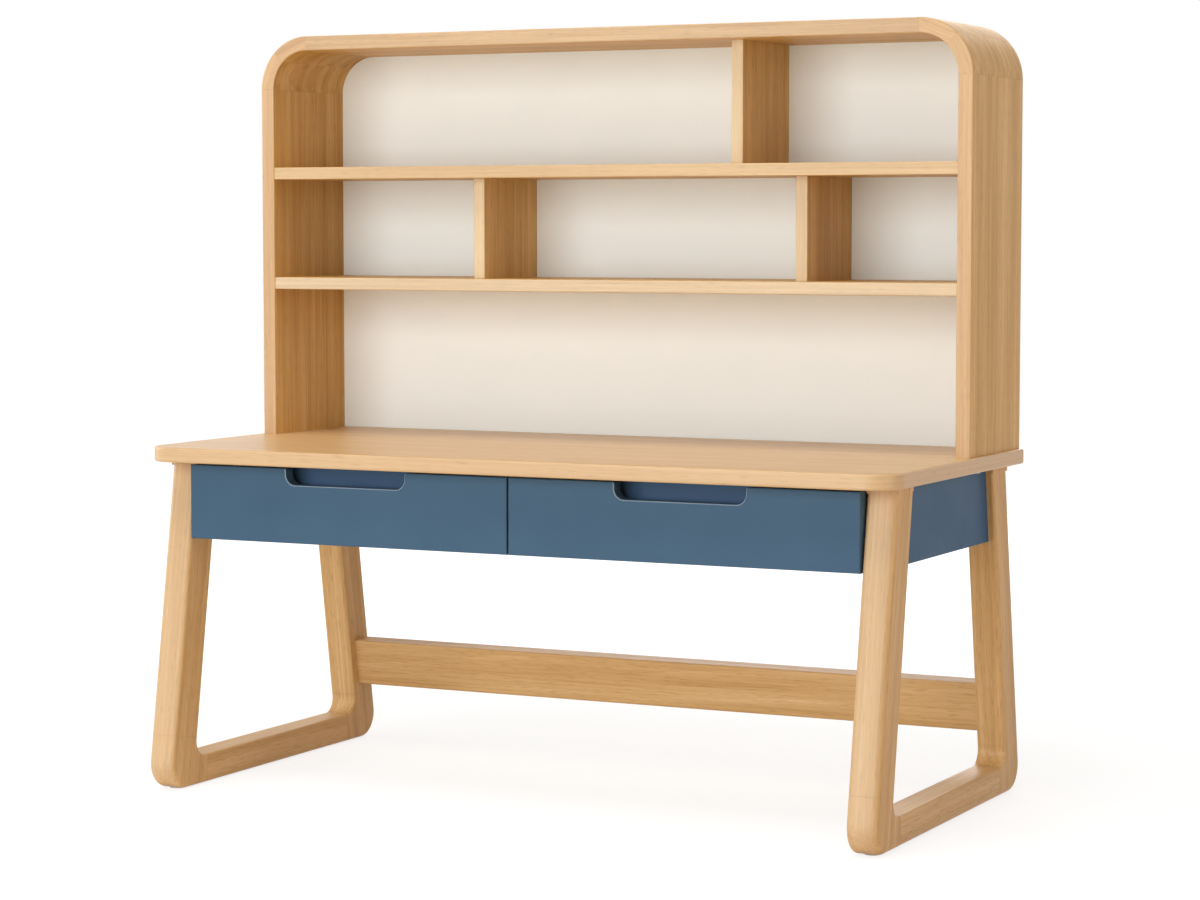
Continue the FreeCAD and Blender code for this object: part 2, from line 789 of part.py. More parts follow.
def make_shelf(shelf_z):
    """Full-width shelf between the hutch sides."""
    z_range = (shelf_z, shelf_z + shelf_thickness)
    board = slab((-hutch_inner_x, hutch_inner_x), (shelf_front_y, panel_front_y), z_range)
    rims = edges_on(board, lambda p: near(p.y, shelf_front_y) and near(p.x, 0))
    return bored(board.makeFillet(shelf_edge_round, rims), shelving_holes + panel_screw_holes)


def make_divider(x, z_range):
    """Upright between two shelves, set back from their front edges."""
    half = divider_thickness / 2
    board = slab((x - half, x + half), (divider_front_y, panel_front_y), z_range)
    middle_z = (z_range[0] + z_range[1]) / 2
    rims = edges_on(board, lambda p: near(p.y, divider_front_y) and near(p.z, middle_z))
    return bored(board.makeFillet(shelf_edge_round, rims), shelving_holes)


# Right drawer; the left one is its mirror image


def make_drawer_front():
    """Painted front with a finger-pull cut-out in its top edge and grooves for the box."""
    middle_x = (front_inner_x + front_outer_x) / 2
    left = middle_x - pull_width / 2
    right = middle_x + pull_width / 2
    low = front_top_z - pull_depth
    corners = [
        (front_inner_x, front_bottom_z, 0), (front_outer_x, front_bottom_z, 0),
        (front_outer_x, front_top_z, 0), (right, front_top_z, pull_lip_radius),
        (right, low, pull_corner_radius), (left, low, pull_corner_radius),
        (left, front_top_z, pull_lip_radius), (front_inner_x, front_top_z, 0)]
    points = [Vector(x, front_face_y, z) for x, z, _ in corners]
    radii = [radius for _, _, radius in corners]
    board = rounded_face(points, radii).extrude(Vector(0, drawer_front_thickness, 0))
    rims = edges_on(board, lambda p: near(p.y, front_face_y))
    board = board.makeFillet(drawer_front_edge_round, rims)
    gap = drawer_groove_clearance
    groove_y = (front_back_y - drawer_groove_depth - gap, far)
    grooves = [slab((box_inner_x, box_outer_x), groove_y, (tray_bottom_z - gap, tray_top_z + gap))]
    for low_x in (box_inner_x, box_outer_x - drawer_side_thickness):
        x_range = (low_x - gap, low_x + drawer_side_thickness + gap)
        grooves.append(slab(x_range, groove_y, (box_bottom_z - gap, box_top_z + gap)))
    return board.cut(grooves)


def make_drawer_side(low_x):
    """Box side, housed in the front and grooved for the bottom and the back."""
    high_x = low_x + drawer_side_thickness
    gap = drawer_groove_clearance
    y_range = (front_back_y - drawer_groove_depth, box_back_y)
    board = slab((low_x, high_x), y_range, (box_bottom_z, box_top_z))
    if near(low_x, box_inner_x):
        groove_x = (high_x - drawer_groove_depth - gap, far)
    else:
        groove_x = (-far, low_x + drawer_groove_depth + gap)
    tray_groove = slab(groove_x, (-far, far), (tray_bottom_z - gap, tray_top_z + gap))
    back_y = (box_back_y - 2 * drawer_back_thickness - gap, box_back_y - drawer_back_thickness + gap)
    back_groove = slab(groove_x, back_y, (0, far))
    holes = [pan_screw(p, d, screw_radial_clearance) for p, d in slide_inner_seats()]
    return bored(board, [tray_groove, back_groove] + holes)


def make_drawer_back():
    """Box back, housed in the sides and grooved for the bottom."""
    reach = drawer_side_thickness - drawer_groove_depth
    gap = drawer_groove_clearance
    back_y = box_back_y - drawer_back_thickness
    board = slab(
        (box_inner_x + reach, box_outer_x - reach), (back_y - drawer_back_thickness, back_y),
        (box_bottom_z, box_top_z))
    groove_y = (-far, back_y - drawer_back_thickness + drawer_groove_depth + gap)
    return board.cut(slab((-far, far), groove_y, (tray_bottom_z - gap, tray_top_z + gap)))


def make_drawer_bottom():
    """Thin bottom, held in the grooves of the sides, front and back."""
    reach = drawer_side_thickness - drawer_groove_depth
    back_y = box_back_y - 2 * drawer_back_thickness + drawer_groove_depth
    return slab(
        (box_inner_x + reach, box_outer_x - reach), (front_back_y - drawer_groove_depth, back_y),
        (tray_bottom_z, tray_top_z))


def make_pull_backing():
    """Painted board behind the finger pull that closes the drawer off from the cut-out."""
    front_y = front_back_y + pull_finger_room
    return slab(
        (box_inner_x + drawer_side_thickness, box_outer_x - drawer_side_thickness),
        (front_y, front_y + pull_backing_thickness), (tray_top_z, underside_z - pull_backing_top_gap))


def slide_member(web, lip, half_height):
    """Pair of bent channels of the right drawer, by the web's and the lips' distance from the wall."""
    sheet = slide_sheet if lip > web else -slide_sheet
    section = [
        (web, -half_height), (lip, -half_height), (lip, slide_sheet - half_height),
        (web + sheet, slide_sheet - half_height), (web + sheet, half_height - slide_sheet),
        (lip, half_height - slide_sheet), (lip, half_height), (web, half_height)]
    channels = []
    for wall_x, side in slide_walls():
        points = [Vector(wall_x + side * s, slide_front_y, slide_z + z) for s, z in section]
        face = rounded_face(points, [0] * len(points))
        channels.append(face.extrude(Vector(0, slide_length, 0)))
    return channels


def make_slides():
    """Outer, middle and inner members of the right drawer's two slides."""
    step = slide_sheet + slide_running_clearance
    half = slide_height / 2
    outer = slide_member(0, slide_outer_flange, half)
    middle = slide_member(slide_middle_web, slide_middle_flange, half - step)
    inner = slide_member(slide_width, slide_inner_flange, half - 2 * step)
    outer_holes = [pan_screw(p, d, screw_radial_clearance) for p, d in slide_outer_seats()]
    inner_holes = [pan_screw(p, d, screw_radial_clearance) for p, d in slide_inner_seats()]
    outer = [bored(channel, outer_holes) for channel in outer]
    inner = [bored(channel, inner_holes) for channel in inner]
    return outer, middle, inner


def group(shapes):
    """Several separate solids kept together in one piece file."""
    return Part.makeCompound(shapes)


def build_hutch(nodes):
    """All pieces of the hutch."""
    side, top, lower_corner, upper_corner = make_hutch_frame()
    nodes["hutch_side_right"] = side
    nodes["hutch_side_left"] = mirrored_x(side)
    nodes["hutch_top"] = top
    nodes["hutch_corner_lower_right"] = lower_corner
    nodes["hutch_corner_upper_right"] = upper_corner
    nodes["hutch_corner_lower_left"] = mirrored_x(lower_corner)
    nodes["hutch_corner_upper_left"] = mirrored_x(upper_corner)
    nodes["hutch_back_panel"] = make_back_panel()
    nodes["lower_shelf"] = make_shelf(lower_shelf_z)
    nodes["upper_shelf"] = make_shelf(upper_shelf_z)
    middle_row = (lower_shelf_z + shelf_thickness, upper_shelf_z)
    top_row = (upper_shelf_z + shelf_thickness, hutch_ceiling_z)
    nodes["middle_divider_left"] = make_divider(middle_divider_left_x, middle_row)
    nodes["middle_divider_right"] = make_divider(middle_divider_right_x, middle_row)
    nodes["top_divider"] = make_divider(top_divider_x, top_row)
    nodes["hutch_corner_dowels"] = group(small_dowels(corner_seam_joints))
    nodes["shelving_dowels"] = group(small_dowels(shelving_joints))
    nodes["back_panel_screws"] = group([panel_screw(p, d) for p, d in panel_screw_seats()])
    nodes["hutch_screws"] = group([hutch_screw(p, d) for p, d in hutch_screw_seats()])


def build_desk(nodes):
    """Desktop, leg frames, aprons and what holds them together."""
    nodes["desktop"] = make_desktop()
    leg, block, runner = make_leg_pieces()
    rights = {
        "front_leg": leg, "rear_leg": mirrored_y(leg), "front_foot_block": block,
        "rear_foot_block": mirrored_y(block), "foot_runner": runner}
    for name, piece in rights.items():
        nodes[name + "_right"] = bored(piece, frame_holes + frame_screw_holes)
        nodes[name + "_left"] = bored(mirrored_x(piece), frame_holes + frame_screw_holes)
    nodes["stretcher"] = make_stretcher()
    nodes["side_apron_right"] = make_apron()
    nodes["side_apron_left"] = mirrored_x(make_apron())
    nodes["slide_batten_right"] = make_batten()
    nodes["slide_batten_left"] = mirrored_x(make_batten())
    nodes["rear_apron"] = make_rear_apron()
    nodes["centre_partition"] = make_partition()
    nodes["frame_dowels"] = group(large_dowels(large_frame_joints) + small_dowels(small_frame_joints))
    brackets = [bracket(corner, inward) for corner, inward in bracket_places()]
    nodes["desktop_brackets"] = group([bored(piece, frame_screw_holes) for piece in brackets])
    nodes["frame_screws"] = group([pan_screw(p, d) for p, d in frame_screw_seats])
    nodes["floor_glides"] = group(make_glides())


def build_drawers(nodes):
    """Both drawers with their slides."""
    outer, middle, inner = make_slides()
    rights = {
        "drawer_front": make_drawer_front(),
        "pull_backing": make_pull_backing(),
        "drawer_side_inner": make_drawer_side(box_inner_x),
        "drawer_side_outer": make_drawer_side(box_outer_x - drawer_side_thickness),
        "drawer_back": make_drawer_back(),
        "drawer_bottom": make_drawer_bottom(),
        "slide_outer_members": group(outer),
        "slide_middle_members": group(middle),
        "slide_inner_members": group(inner),
        "drawer_slide_screws": group([pan_screw(p, d) for p, d in slide_inner_seats()])}
    for name, piece in rights.items():
        nodes["right_" + name] = piece
        nodes["left_" + name] = mirrored_x(piece)


def main():
    """Build every piece and write one file for each."""
    os.makedirs("parts", exist_ok=True)
    nodes = {}
    build_desk(nodes)
    build_hutch(nodes)
    build_drawers(nodes)
    for name, shape in nodes.items():
        print(name, len(shape.Solids), shape.isValid(), round(shape.Volume))
        shape.exportStep(os.path.join("parts", name + ".step"))


main()
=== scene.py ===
"""Student desk with hutch: finishes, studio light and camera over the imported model.

Lengths are in metres. X runs along the desk's width, Y from the sitter towards the wall, Z up.
"""
import logging
import math
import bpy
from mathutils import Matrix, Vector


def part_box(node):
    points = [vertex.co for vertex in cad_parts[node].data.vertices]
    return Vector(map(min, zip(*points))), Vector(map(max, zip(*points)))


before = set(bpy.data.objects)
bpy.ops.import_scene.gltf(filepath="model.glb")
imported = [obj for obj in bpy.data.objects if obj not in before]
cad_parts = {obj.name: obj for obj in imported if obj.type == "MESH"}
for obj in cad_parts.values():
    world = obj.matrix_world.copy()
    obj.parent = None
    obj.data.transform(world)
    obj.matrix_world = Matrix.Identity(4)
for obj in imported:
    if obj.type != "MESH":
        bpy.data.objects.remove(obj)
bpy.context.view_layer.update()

import zlib
from dataclasses import dataclass, replace
from enum import Enum
from typing import Any, Optional, Sequence

import bpy
import numpy as np

LOG = logging.getLogger("desk")
MM = 0.001
SIDES = ("left", "right")
# Lean of the legs in degrees
LEG_SPLAY = 9.0
ARRIS_SAMPLES = 4
# Cosines of the turn at which an arris starts to show and at which it shows in full
ARRIS_TURN = (0.99, 0.86)
# Low and high end of what Blender's noise mostly gives
NOISE_SPAN = (0.3, 0.7)
LACQUER_IOR = 1.5

Colour = tuple[float, float, float, float]
Triple = tuple[float, float, float]
Span = tuple[float, float]
WHITE: Colour = (1.0, 1.0, 1.0, 1.0)


def linear(hex_code: str) -> Colour:
    """Turn an sRGB hex colour into the linear colour that Blender's sockets hold.

    Args:
        hex_code: Six hex digits with a leading hash sign.

    Returns:
        Red, green, blue and an alpha of 1.
    """
    # The sRGB standard's curve is a straight foot with a power of 2.4 above it.
    srgb = np.array([int(hex_code[i:i + 2], 16) for i in (1, 3, 5)]) / 255
    low = srgb / 12.92
    high = ((srgb + 0.055) / 1.055) ** 2.4
    return (*np.where(srgb <= 0.04045, low, high).tolist(), 1.0)


def add(tree: bpy.types.NodeTree, kind: str, settings: Optional[dict[str, Any]] = None,
        values: Optional[dict[Any, Any]] = None, links: Optional[dict[Any, bpy.types.NodeSocket]] = None,
        stops: Sequence[tuple[float, Colour]] = ()) -> bpy.types.Node:
    """Add one node with its settings, input values, incoming links and colour stops.

    Args:
        tree: Node tree that takes the node.
        kind: Blender's name for the type of node.
        settings: Node attributes by name.
        values: Unlinked input values by input name or index.
        links: Output socket that feeds each input, by input name or index.
        stops: Place and colour of each stop, for a node with a colour ramp.

    Returns:
        The new node.
    """
    node = tree.nodes.new(kind)
    for name, value in (settings or {}).items():
        setattr(node, name, value)
    for key, value in (values or {}).items():
        node.inputs[key].default_value = value
    for key, socket in (links or {}).items():
        tree.links.new(socket, node.inputs[key])
    if stops:
        ramp = node.color_ramp.elements
        while len(ramp) < len(stops):
            ramp.new(1.0)
        for element, (place, colour) in zip(ramp, stops):
            element.position = place
            element.color = colour
    return node


def blank_material(name: str) -> tuple[bpy.types.NodeTree, bpy.types.Node]:
    """Make an empty node material.

    Args:
        name: Name of the material.

    Returns:
        The material's node tree and its output node.
    """
    material = bpy.data.materials.new(name)
    material.use_nodes = True
    material.node_tree.nodes.clear()
    output = add(material.node_tree, "ShaderNodeOutputMaterial")
    return material.node_tree, output


def edge_wear_and_highlight(tree: bpy.types.NodeTree, radius: float) -> tuple[bpy.types.NodeSocket, bpy.types.NodeSocket]:
    """Find a surface's arrises by how far a rounded normal turns away from the true one.

    Args:
        tree: Node tree of the material.
        radius: Reach of the rounding, in metres.

    Returns:
        The rounded normal, and a mask that is 1 on an arris and 0 on open faces.
    """
    soft = add(tree, "ShaderNodeBevel", {"samples": ARRIS_SAMPLES}, {"Radius": radius})
    true = add(tree, "ShaderNodeNewGeometry")
    turn = add(tree, "ShaderNodeVectorMath", {"operation": "DOT_PRODUCT"}, None,
               {0: soft.outputs["Normal"], 1: true.outputs["Normal"]})
    mask = add(tree, "ShaderNodeMapRange", None,
               {"From Min": ARRIS_TURN[0], "From Max": ARRIS_TURN[1]},
               {"Value": turn.outputs["Value"]})
    return soft.outputs["Normal"], mask.outputs["Result"]


def laid_over(tree: bpy.types.NodeTree, under: bpy.types.NodeSocket, mask: bpy.types.NodeSocket, share: float,
              hex_code: str) -> bpy.types.NodeSocket:
    """Lay one colour over another: share times mask of the new colour, and the rest of the old one.

    Args:
        tree: Node tree of the material.
        under: The colour so far.
        mask: Where the new colour lies, from 0 to 1.
        share: How strongly it covers where the mask is 1.
        hex_code: The new colour.

    Returns:
        The mixed colour.
    """
    # A Mix node has its colours at inputs 6 and 7 and at output 2, and its vectors at 4, 5 and 1.
    cover = add(tree, "ShaderNodeMath", {"operation": "MULTIPLY"}, {1: share}, {0: mask})
    mixed = add(tree, "ShaderNodeMix", {"data_type": "RGBA"}, {7: linear(hex_code)},
                {0: cover.outputs["Value"], 6: under})
    return mixed.outputs[2]


def seen_rays(tree: bpy.types.NodeTree) -> bpy.types.NodeSocket:
    """Mark the rays that show a surface: those from the camera, in reflections and through glass.

    Args:
        tree: Node tree of the floor's material or the world.

    Returns:
        The mask, 1 for such a ray and 0 for one that only lights something.
    """
    path = add(tree, "ShaderNodeLightPath").outputs
    seen = path["Is Camera Ray"]
    for other in ("Is Glossy Ray", "Is Transmission Ray"):
        seen = add(tree, "ShaderNodeMath", {"operation": "MAXIMUM"}, None,
                   {0: seen, 1: path[other]}).outputs["Value"]
    return seen


class Grain(Enum):
    """Turn, in degrees about X, then Y, then Z, that lays a board's grain along the pattern's X axis."""

    ALONG_X = (0.0, 0.0, 0.0)
    ALONG_Y = (0.0, 0.0, -90.0)
    ALONG_Z = (0.0, 90.0, 0.0)
    AROUND_Z = (0.0, 0.0, -45.0)
    FRONT_LEG = (LEG_SPLAY, 90.0, 0.0)
    REAR_LEG = (-LEG_SPLAY, 90.0, 0.0)
    CORNER_LOW_RIGHT = (0.0, 112.5, 0.0)
    CORNER_HIGH_RIGHT = (0.0, 157.5, 0.0)
    CORNER_LOW_LEFT = (0.0, 67.5, 0.0)
    CORNER_HIGH_LEFT = (0.0, 22.5, 0.0)


@dataclass(frozen=True)
class Seam:
    """Glue line between two boards: a point on its plane and the plane's normal."""

    point: Triple
    normal: Triple


@dataclass(frozen=True)
class LippingAndLight:
    """Faces of a board that differ in tone from the rest: the axes they face, and the colour laid over them.

    With a grain of its own they are an edge strip, whose wash on the hutch's boards also paints light and shade;
    without one, the wash is painted light on the faces that turn to the lamps.
    A face may lean from its axis by the turn, in radians, and the tone changes over the blend either side of it.
    """

    facings: tuple[Triple, ...]
    grain: Optional[Grain] = None
    wash: str = "#BCA693"
    wash_share: float = 0.3
    turn: float = math.radians(46.0)
    blend: float = math.radians(0.5)

    def mask(self, tree: bpy.types.NodeTree, normal: bpy.types.NodeSocket) -> bpy.types.NodeSocket:
        """Mark those faces: 1 within the turn of one of the axes, 0 beyond it, blended between.

        Args:
            tree: Node tree of the material.
            normal: The surface's normal in object space.

        Returns:
            The mask.
        """
        covered = None
        limits = {"From Min": math.cos(self.turn + self.blend), "From Max": math.cos(self.turn - self.blend)}
        for facing in self.facings:
            lean = add(tree, "ShaderNodeVectorMath", {"operation": "DOT_PRODUCT"}, {1: facing}, {0: normal})
            lean = add(tree, "ShaderNodeMath", {"operation": "ABSOLUTE"}, None, {0: lean.outputs["Value"]})
            near = add(tree, "ShaderNodeMapRange", None, limits,
                       {"Value": lean.outputs["Value"]}).outputs["Result"]
            if covered is not None:
                near = add(tree, "ShaderNodeMath", {"operation": "MAXIMUM"}, None,
                           {0: covered, 1: near}).outputs["Value"]
            covered = near
        return covered


@dataclass(frozen=True)
class Wood:
    """Solid wood under clear lacquer.

    Growth rings are cylinders about a pith line outside the board, so broad faces show long arches
    and edges show straight lines. Streaks are the finer fibre lines, bands the tone of whole strips,
    and pores the short dashes of the open vessels. Real pores and glue lines are a few tenths of a
    millimetre wide, and are drawn coarser so that they show. Each plank is cut from its own place, within
    the log's reach of the pattern's origin, and its pith leans by a degree or so, so no two look alike.
    """

    name: str
    pale: str
    middle: str
    deep: str
    pore: str
    log_reach: float = 3.0
    pith_depth: Span = (60.0 * MM, 160.0 * MM)
    pith_aside: float = 120.0 * MM
    pith_lean: float = 1.3
    plank_tone: float = 0.07
    tone_stops: Triple = (0.12, 0.5, 0.88)
    ring_spacing: float = 9.0 * MM
    ring_wander: float = 9.0
    ring_slowness: Triple = (0.05, 1.0, 1.0)
    streak_width: float = 4.0 * MM
    streak_length: float = 260.0 * MM
    band_width: float = 28.0 * MM
    band_length: float = 900.0 * MM
    pore_width: float = 1.5 * MM
    pore_length: float = 24.0 * MM
    pore_span: Span = (0.60, 0.75)
    pore_share: float = 0.30
    pore_depth: float = 1.5
    seam_width: float = 0.7 * MM
    seam_share: float = 0.3
    arris_radius: float = 1.2 * MM
    arris_share: float = 0.35
    ring_share: float = 0.10
    streak_share: float = 0.74
    band_share: float = 0.72
    roughness: Span = (0.40, 0.52)
    bump: float = 0.2
    bump_depth: float = 0.25 * MM
    specular: float = 0.25
    coat: float = 0.04
    coat_roughness: float = 0.3

    def seam_mask(self, tree: bpy.types.NodeTree, place: bpy.types.NodeSocket,
                  seams: Sequence[Seam]) -> Optional[bpy.types.NodeSocket]:
        """Mark the glue lines: 1 on a seam's plane, falling to 0 at the seam's width.

        Args:
            tree: Node tree of the material.
            place: Object coordinates.
            seams: Planes of the seams.

        Returns:
            The mask, or None for a board without seams.
        """
        mask = None
        for seam in seams:
            offset = add(tree, "ShaderNodeVectorMath", {"operation": "SUBTRACT"}, {1: seam.point}, {0: place})
            height = add(tree, "ShaderNodeVectorMath", {"operation": "DOT_PRODUCT"}, {1: seam.normal},
                         {0: offset.outputs["Vector"]})
            gap = add(tree, "ShaderNodeMath", {"operation": "ABSOLUTE"}, None, {0: height.outputs["Value"]})
            line = add(tree, "ShaderNodeMapRange", None,
                       {"From Min": 0.0, "From Max": self.seam_width, "To Min": 1.0, "To Max": 0.0},
                       {"Value": gap.outputs["Value"]}).outputs["Result"]
            if mask is not None:
                line = add(tree, "ShaderNodeMath", {"operation": "MAXIMUM"}, None,
                           {0: mask, 1: line}).outputs["Value"]
            mask = line
        return mask

    def material(self, board: str, grain: Grain, seams: Sequence[Seam] = (),
                 lipping_and_light: Optional[LippingAndLight] = None, plank: Optional[str] = None) -> bpy.types.Material:
        """Make the material of one board.

        Args:
            board: Name of the board.
            grain: Direction of the board's grain.
            seams: Glue lines that show on the board.
            lipping_and_light: Faces of another tone, where the board has them: an edge strip, painted light and
                shade, or both.
            plank: Name of the plank that it shares with other boards, where it does.

        Returns:
            The finished material.
        """
        cut = np.random.default_rng(zlib.crc32((plank or board).encode()))
        shift = cut.uniform(-self.log_reach, self.log_reach, 3)
        pith_y = cut.uniform(*self.pith_depth) - shift[1]
        pith_z = cut.uniform(-self.pith_aside, self.pith_aside) - shift[2]
        lean = np.radians(cut.uniform(-self.pith_lean, self.pith_lean, 2))
        tone_shift = cut.uniform(-self.plank_tone, self.plank_tone)
        tree, output = blank_material(f"{self.name}_{board}")
        coordinates = add(tree, "ShaderNodeTexCoord")
        place = coordinates.outputs["Object"]
        along = add(tree, "ShaderNodeMapping", None,
                    {"Location": shift.tolist(), "Rotation": np.radians(grain.value).tolist()},
                    {"Vector": place}).outputs["Vector"]
        if lipping_and_light is not None:
            face_mask = lipping_and_light.mask(tree, coordinates.outputs["Normal"])
        if lipping_and_light is not None and lipping_and_light.grain is not None:
            strip = add(tree, "ShaderNodeMapping", None,
                        {"Location": shift[::-1].tolist(), "Rotation": np.radians(lipping_and_light.grain.value).tolist()},
                        {"Vector": place})
            # The strip is thin, so its figure does not change with depth.
            thin = add(tree, "ShaderNodeVectorMath", {"operation": "MULTIPLY"}, {1: (1.0, 0.0, 1.0)},
                       {0: strip.outputs["Vector"]})
            along = add(tree, "ShaderNodeMix", {"data_type": "VECTOR"}, None,
                        {0: face_mask, 4: along, 5: thin.outputs["Vector"]}).outputs[1]

        def stretched(length: float, width: float) -> bpy.types.NodeSocket:
            """Scale the board's coordinates so that one unit is a mark's length and width."""
            scale = (1 / length, 1 / width, 1 / width)
            return add(tree, "ShaderNodeVectorMath", {"operation": "MULTIPLY"}, {1: scale},
                       {0: along}).outputs["Vector"]

        # Blender's ring wave repeats every 2 pi / (20 scale), which sets the scale for a ring spacing in metres.
        ring_scale = 2 * math.pi / (20 * self.ring_spacing)
        heart = add(tree, "ShaderNodeMapping", None,
                    {"Location": (0.0, pith_y, pith_z), "Rotation": (0.0, lean[0], lean[1])}, {"Vector": along})
        slow = add(tree, "ShaderNodeVectorMath", {"operation": "MULTIPLY"}, {1: self.ring_slowness},
                   {0: heart.outputs["Vector"]})
        rings = add(tree, "ShaderNodeTexWave",
                    {"wave_type": "RINGS", "rings_direction": "X", "wave_profile": "SAW"},
                    {"Scale": ring_scale, "Distortion": self.ring_wander, "Detail": 2.0, "Detail Scale": 0.35,
                     "Detail Roughness": 0.55}, {"Vector": slow.outputs["Vector"]})
        streaks = add(tree, "ShaderNodeTexNoise", None, {"Scale": 1.0, "Detail": 4.0, "Roughness": 0.62},
                      {"Vector": stretched(self.streak_length, self.streak_width)})
        bands = add(tree, "ShaderNodeTexNoise", None, {"Scale": 1.0, "Detail": 1.0},
                    {"Vector": stretched(self.band_length, self.band_width)})
        pores = add(tree, "ShaderNodeTexNoise", None, {"Scale": 1.0, "Detail": 0.0},
                    {"Vector": stretched(self.pore_length, self.pore_width)})
        pore_mask = add(tree, "ShaderNodeMapRange", None,
                        {"From Min": self.pore_span[0], "From Max": self.pore_span[1], "To Max": self.pore_share},
                        {"Value": pores.outputs["Fac"]})
        start = 0.5 - (self.ring_share + self.streak_share + self.band_share) / 2 + tone_shift
        tone = add(tree, "ShaderNodeMath", {"operation": "MULTIPLY_ADD"}, {1: self.ring_share, 2: start},
                   {0: rings.outputs["Fac"]})
        tone = add(tree, "ShaderNodeMath", {"operation": "MULTIPLY_ADD"}, {1: self.streak_share},
                   {0: streaks.outputs["Fac"], 2: tone.outputs["Value"]})
        tone = add(tree, "ShaderNodeMath", {"operation": "MULTIPLY_ADD"}, {1: self.band_share},
                   {0: bands.outputs["Fac"], 2: tone.outputs["Value"]})
        tones = [linear(tone_hex) for tone_hex in (self.deep, self.middle, self.pale)]
        ramp = add(tree, "ShaderNodeValToRGB", None, None, {"Fac": tone.outputs["Value"]},
                   list(zip(self.tone_stops, tones)))
        colour = add(tree, "ShaderNodeMix", {"data_type": "RGBA"}, {7: linear(self.pore)},
                     {0: pore_mask.outputs["Result"], 6: ramp.outputs["Color"]}).outputs[2]
        if lipping_and_light is not None:
            colour = laid_over(tree, colour, face_mask, lipping_and_light.wash_share, lipping_and_light.wash)
        soft_normal, edge = edge_wear_and_highlight(tree, self.arris_radius)
        colour = laid_over(tree, colour, edge, self.arris_share, self.pale)
        glue = self.seam_mask(tree, place, seams)
        if glue is not None:
            colour = laid_over(tree, colour, glue, self.seam_share, self.pore)
        rough = add(tree, "ShaderNodeMapRange", None,
                    {"From Min": NOISE_SPAN[0], "From Max": NOISE_SPAN[1],
                     "To Min": self.roughness[1], "To Max": self.roughness[0]}, {"Value": streaks.outputs["Fac"]})
        height = add(tree, "ShaderNodeMath", {"operation": "MULTIPLY_ADD"}, {1: -self.pore_depth},
                     {0: pore_mask.outputs["Result"], 2: streaks.outputs["Fac"]})
        bump = add(tree, "ShaderNodeBump", None, {"Strength": self.bump, "Distance": self.bump_depth},
                   {"Height": height.outputs["Value"], "Normal": soft_normal})
        shader = add(tree, "ShaderNodeBsdfPrincipled", None,
                     {"IOR": LACQUER_IOR, "Specular IOR Level": self.specular, "Coat Weight": self.coat,
                      "Coat Roughness": self.coat_roughness},
                     {"Base Color": colour, "Roughness": rough.outputs["Result"],
                      "Normal": bump.outputs["Normal"]})
        tree.links.new(shader.outputs["BSDF"], output.inputs["Surface"])
        return bpy.data.materials[f"{self.name}_{board}"]


@dataclass(frozen=True)
class PullRim:
    """Room round a finger pull whose front arris gets a painted highlight, a lighter line: its centre and half
    size.

    The room has no limit in depth.
    """

    centre: Triple
    half_size: Triple

    def mask(self, tree: bpy.types.NodeTree, coordinates: bpy.types.Node) -> bpy.types.NodeSocket:
        """Mark the arris: 4 n (1 - n) inside the room, else 0, where n is the square of the normal's Y part.

        Args:
            tree: Node tree of the material.
            coordinates: The material's Texture Coordinate node.

        Returns:
            The mask.
        """
        offset = add(tree, "ShaderNodeVectorMath", {"operation": "SUBTRACT"}, {1: self.centre},
                     {0: coordinates.outputs["Object"]})
        offset = add(tree, "ShaderNodeVectorMath", {"operation": "DIVIDE"}, {1: self.half_size},
                     {0: offset.outputs["Vector"]})
        offset = add(tree, "ShaderNodeVectorMath", {"operation": "ABSOLUTE"}, None, {0: offset.outputs["Vector"]})
        parts = add(tree, "ShaderNodeSeparateXYZ", None, None, {"Vector": offset.outputs["Vector"]})
        far = add(tree, "ShaderNodeMath", {"operation": "MAXIMUM"}, None,
                  {0: parts.outputs["X"], 1: parts.outputs["Z"]})
        inside = add(tree, "ShaderNodeMath", {"operation": "LESS_THAN"}, {1: 1.0}, {0: far.outputs["Value"]})
        normal = add(tree, "ShaderNodeSeparateXYZ", None, None, {"Vector": coordinates.outputs["Normal"]})
        square = add(tree, "ShaderNodeMath", {"operation": "POWER"}, {1: 2.0}, {0: normal.outputs["Y"]})
        rest = add(tree, "ShaderNodeMath", {"operation": "SUBTRACT"}, {0: 1.0}, {1: square.outputs["Value"]})
        arris = add(tree, "ShaderNodeMath", {"operation": "MULTIPLY"}, None,
                    {0: square.outputs["Value"], 1: rest.outputs["Value"]})
        arris = add(tree, "ShaderNodeMath", {"operation": "MULTIPLY"}, {1: 4.0}, {0: arris.outputs["Value"]})
        return add(tree, "ShaderNodeMath", {"operation": "MULTIPLY"}, None,
                   {0: arris.outputs["Value"], 1: inside.outputs["Value"]}).outputs["Value"]


